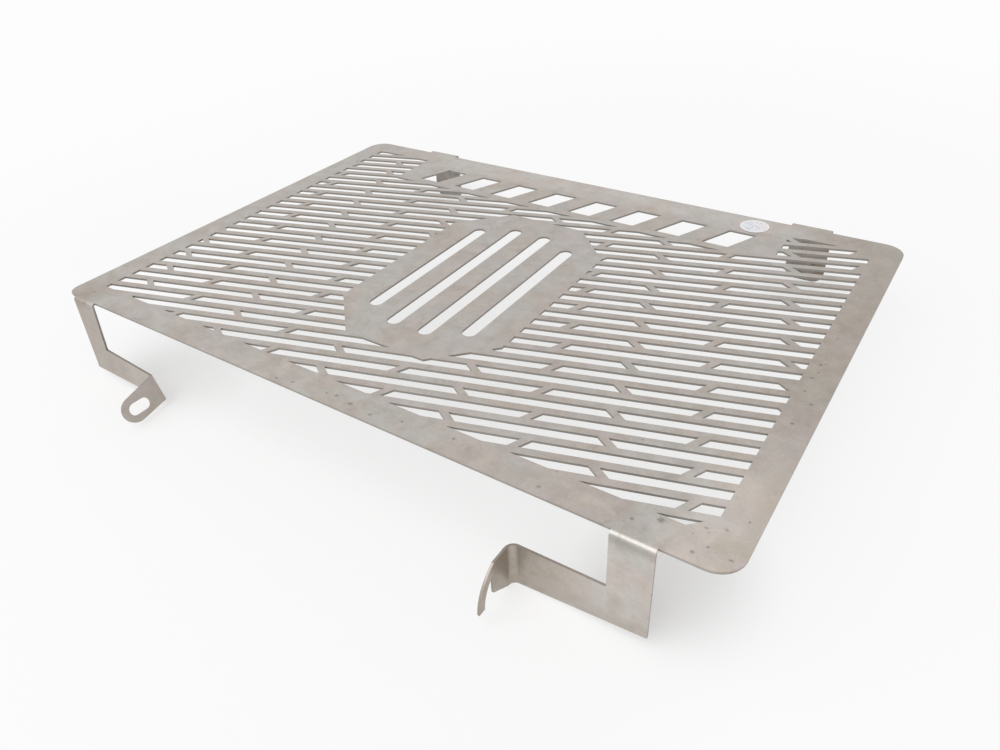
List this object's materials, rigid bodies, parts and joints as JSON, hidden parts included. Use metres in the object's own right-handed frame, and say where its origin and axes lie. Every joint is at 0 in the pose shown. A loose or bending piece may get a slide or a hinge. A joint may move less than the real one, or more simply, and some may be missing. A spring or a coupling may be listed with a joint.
{
  "type": "radiator grille",
  "caption": "Folded stainless sheet radiator guard with a slanted slot lattice, hanging legs with ears and back tabs.",
  "frame": {"origin": "middle of the flat plate's underside, the face that lies towards the radiator core", "axes": "+X along the plate's long side, towards the leg that is inset further; +Y towards the back edge with its two tabs; +Z out of the plate's outer face"},
  "size_m": [0.345, 0.2665, 0.0484],
  "materials": {
    "stainless_sheet": "dull bare stainless sheet with smudges, small dark specks and a few rust spots",
    "sticker_paper": "plain white paper sticker"
  },
  "bodies": {
    "root": {"grille": "stainless_sheet", "round_label": "sticker_paper"}
  },
  "joints": []
}
